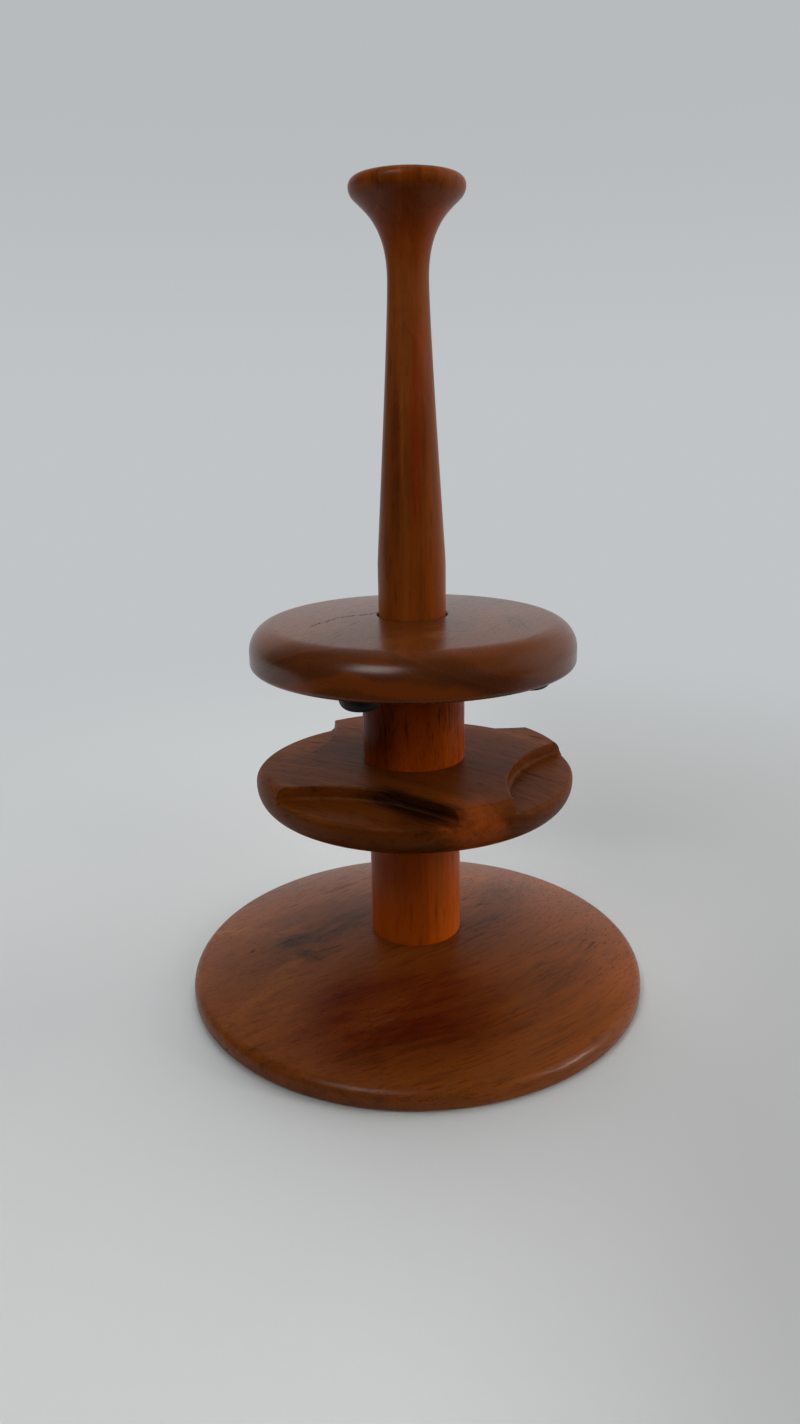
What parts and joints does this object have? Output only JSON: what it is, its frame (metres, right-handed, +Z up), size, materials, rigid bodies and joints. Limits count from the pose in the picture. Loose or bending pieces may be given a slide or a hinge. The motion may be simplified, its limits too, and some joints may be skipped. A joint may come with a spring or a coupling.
{
  "type": "revolving dish server stand",
  "caption": "Turned wooden serving stand: domed base, revolving ledge disc with recessed seats for round dishes, and a clamp disc with rubber stops that slides on a flared stem.",
  "frame": {"origin": "centre of the felt's underside, on the surface that the stand rests on", "axes": "+Z up along the turning axis, +X towards the middle of the first dish seat"},
  "size_m": [0.15, 0.15, 0.2462],
  "materials": {
    "teak_base": "oiled satin teak, open pores, figured grain across the disc",
    "teak_column": "oiled satin teak, lighter, grain along the column",
    "teak_ledge": "oiled satin teak with nearly black figure",
    "teak_spacer": "oiled satin teak, orange red, dark pores along the spacer",
    "teak_stem": "oiled satin teak, polished by hands, grain along the stem",
    "teak_clamp": "oiled satin teak with dark arched figure",
    "felt": "pressed wool felt",
    "rubber": "matt black",
    "steel": "zinc plated, satin",
    "brass": "turned, slightly dull"
  },
  "bodies": {
    "base": {"base": "teak_base", "base_felt": "felt", "column": "teak_column", "spindle_sleeve": "brass", "thrust_washer": "brass"},
    "carousel": {"ledge_disc": "teak_ledge", "spacer": "teak_spacer", "stem": "teak_stem", "stem_insert": "brass", "spindle": "steel", "carousel_nut": "steel", "retaining_washer": "steel", "retaining_nut": "steel"},
    "clamp": {"clamp_disc": "teak_clamp", "rim_stop_right": "rubber", "rim_stop_back": "rubber", "rim_stop_left": "rubber", "rim_stop_front": "rubber", "stop_screws": "steel"}
  },
  "joints": [
    {"name": "carousel_turn", "type": "hinge", "parent": "base", "child": "carousel", "pos_m": [0, 0, 0.06423], "axis": [0, 0, 1], "continuous": true},
    {"name": "clamp_lift", "type": "slide", "parent": "carousel", "child": "clamp", "axis": [0, 0, 1], "range_m": [0, 0.112]}
  ]
}
